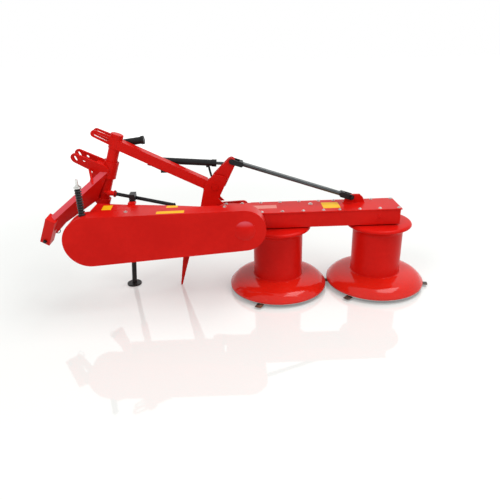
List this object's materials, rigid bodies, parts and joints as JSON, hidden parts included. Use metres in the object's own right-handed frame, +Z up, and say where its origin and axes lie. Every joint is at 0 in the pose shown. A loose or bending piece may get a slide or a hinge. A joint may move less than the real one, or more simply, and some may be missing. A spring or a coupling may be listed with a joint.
{
  "type": "drum mower",
  "caption": "Drum mower with a belt drive, a hydraulically lifted cutter bar on a swinging hitch, and drums on skid saucers.",
  "frame": {"origin": "centre of the sole of the inner drum's skid, on the ground", "axes": "+X outwards along the cutter bar, +Y away from the belt guard, +Z up"},
  "size_m": [2.4738, 0.8839, 1.078],
  "materials": {
    "red_paint": "gloss",
    "black_paint": "satin",
    "bare_steel": "worn",
    "chrome_rod": "polished",
    "rubber_hose": "matte",
    "black_plastic": "matte"
  },
  "bodies": {
    "frame": {"mast_post": "red_paint", "mast_foot_plate": "red_paint", "lower_beam": "red_paint", "bar_yoke": "red_paint", "upright_plates": "red_paint", "upper_beam": "red_paint", "mast_cap": "red_paint", "upper_forks": "red_paint", "belt_guard": "red_paint", "guard_back_plate": "red_paint", "guard_carrier_tube": "red_paint", "input_bearing_housing": "black_paint", "tensioner_spring": "black_paint", "tensioner_bolt": "bare_steel", "guard_tray": "red_paint", "breakaway_rod": "bare_steel", "breakaway_lug": "red_paint", "rod_clamp": "black_paint", "prop_leg": "red_paint", "document_tube": "black_plastic", "cylinder_bracket": "black_paint", "stand_sleeve": "red_paint", "lift_hose": "rubber_hose", "hose_fitting": "bare_steel"},
    "headstock": {"hitch_collars": "red_paint", "hitch_arm_near": "red_paint", "hitch_arm_far": "red_paint", "hitch_legs": "red_paint", "link_lugs": "red_paint", "lower_link_pins": "bare_steel", "top_link_bracket": "red_paint", "hitch_brace": "red_paint"},
    "cutter_bar": {"gear_bar": "red_paint", "bar_cover": "red_paint", "stay_lug": "red_paint", "stay_outer_pin": "bare_steel", "drum_spindles": "bare_steel"},
    "inner_drum": {"drum_shell_inner": "red_paint", "drum_dish_inner": "red_paint", "blade_carrier_inner": "bare_steel", "blades_inner": "bare_steel"},
    "outer_drum": {"drum_shell_outer": "red_paint", "drum_dish_outer": "red_paint", "blade_carrier_outer": "bare_steel", "blades_outer": "bare_steel"},
    "inner_skid": {"skid_inner": "bare_steel"},
    "outer_skid": {"skid_outer": "bare_steel"},
    "lever": {"lift_lever": "red_paint", "lever_pins": "bare_steel"},
    "stay": {"stay_forks": "black_paint", "stay_rod": "bare_steel"},
    "barrel": {"cylinder_barrel": "black_paint"},
    "rod": {"cylinder_rod": "chrome_rod"},
    "drive_shaft": {"input_shaft": "bare_steel"},
    "stand": {"stand_leg": "black_paint"}
  },
  "joints": [
    {"name": "headstock_swing", "type": "hinge", "parent": "frame", "child": "headstock", "pos_m": [-1.116, 0.04, 0.61], "axis": [-0.3289, 0, -0.9444], "range_deg": [0, 82]},
    {"name": "bar_lift", "type": "hinge", "parent": "frame", "child": "cutter_bar", "pos_m": [-0.22, 0, 0.533], "axis": [0, -1, 0], "range_deg": [-5, 14]},
    {"name": "lever_turn", "type": "hinge", "parent": "frame", "child": "lever", "pos_m": [-0.395, 0.04, 0.705], "axis": [0, -1, 0], "range_deg": [-8.68, 23.41]},
    {"name": "stay_turn", "type": "hinge", "parent": "lever", "child": "stay", "pos_m": [-0.286, 0.04, 0.86], "axis": [0, -1, 0], "range_deg": [-13.58, 5.17]},
    {"name": "barrel_turn", "type": "hinge", "parent": "frame", "child": "barrel", "pos_m": [-0.79, 0.106, 0.865], "axis": [0, -1, 0], "range_deg": [-1.65, 3.72]},
    {"name": "rod_slide", "type": "slide", "parent": "barrel", "child": "rod", "axis": [0.9968, 0, -0.08], "range_m": [-0.0551, 0.0203]},
    {"name": "inner_drum_spin", "type": "hinge", "parent": "cutter_bar", "child": "inner_drum", "pos_m": [0, 0, 0.3], "axis": [0, 0, 1], "continuous": true},
    {"name": "outer_drum_spin", "type": "hinge", "parent": "cutter_bar", "child": "outer_drum", "pos_m": [0.656, 0, 0.3], "axis": [0, 0, 1], "continuous": true},
    {"name": "inner_skid_spin", "type": "hinge", "parent": "cutter_bar", "child": "inner_skid", "pos_m": [0, 0, 0.02], "axis": [0, 0, 1], "continuous": true},
    {"name": "outer_skid_spin", "type": "hinge", "parent": "cutter_bar", "child": "outer_skid", "pos_m": [0.656, 0, 0.02], "axis": [0, 0, 1], "continuous": true},
    {"name": "drive_shaft_spin", "type": "hinge", "parent": "frame", "child": "drive_shaft", "pos_m": [-1.13, -0.12, 0.495], "axis": [0, 1, 0], "continuous": true},
    {"name": "stand_slide", "type": "slide", "parent": "frame", "child": "stand", "axis": [0.0872, 0, 0.9962], "range_m": [0, 0.11]}
  ],
  "couplings": [
    {"joint": "lever_turn", "follows": "bar_lift", "ratio": 1.6363},
    {"joint": "stay_turn", "follows": "bar_lift", "ratio": -0.934},
    {"joint": "barrel_turn", "follows": "bar_lift", "ratio": 0.23},
    {"joint": "rod_slide", "follows": "bar_lift", "m_per_rad": -0.2213},
    {"joint": "outer_drum_spin", "follows": "inner_drum_spin", "ratio": -1},
    {"joint": "drive_shaft_spin", "follows": "inner_drum_spin", "ratio": 0.3}
  ]
}
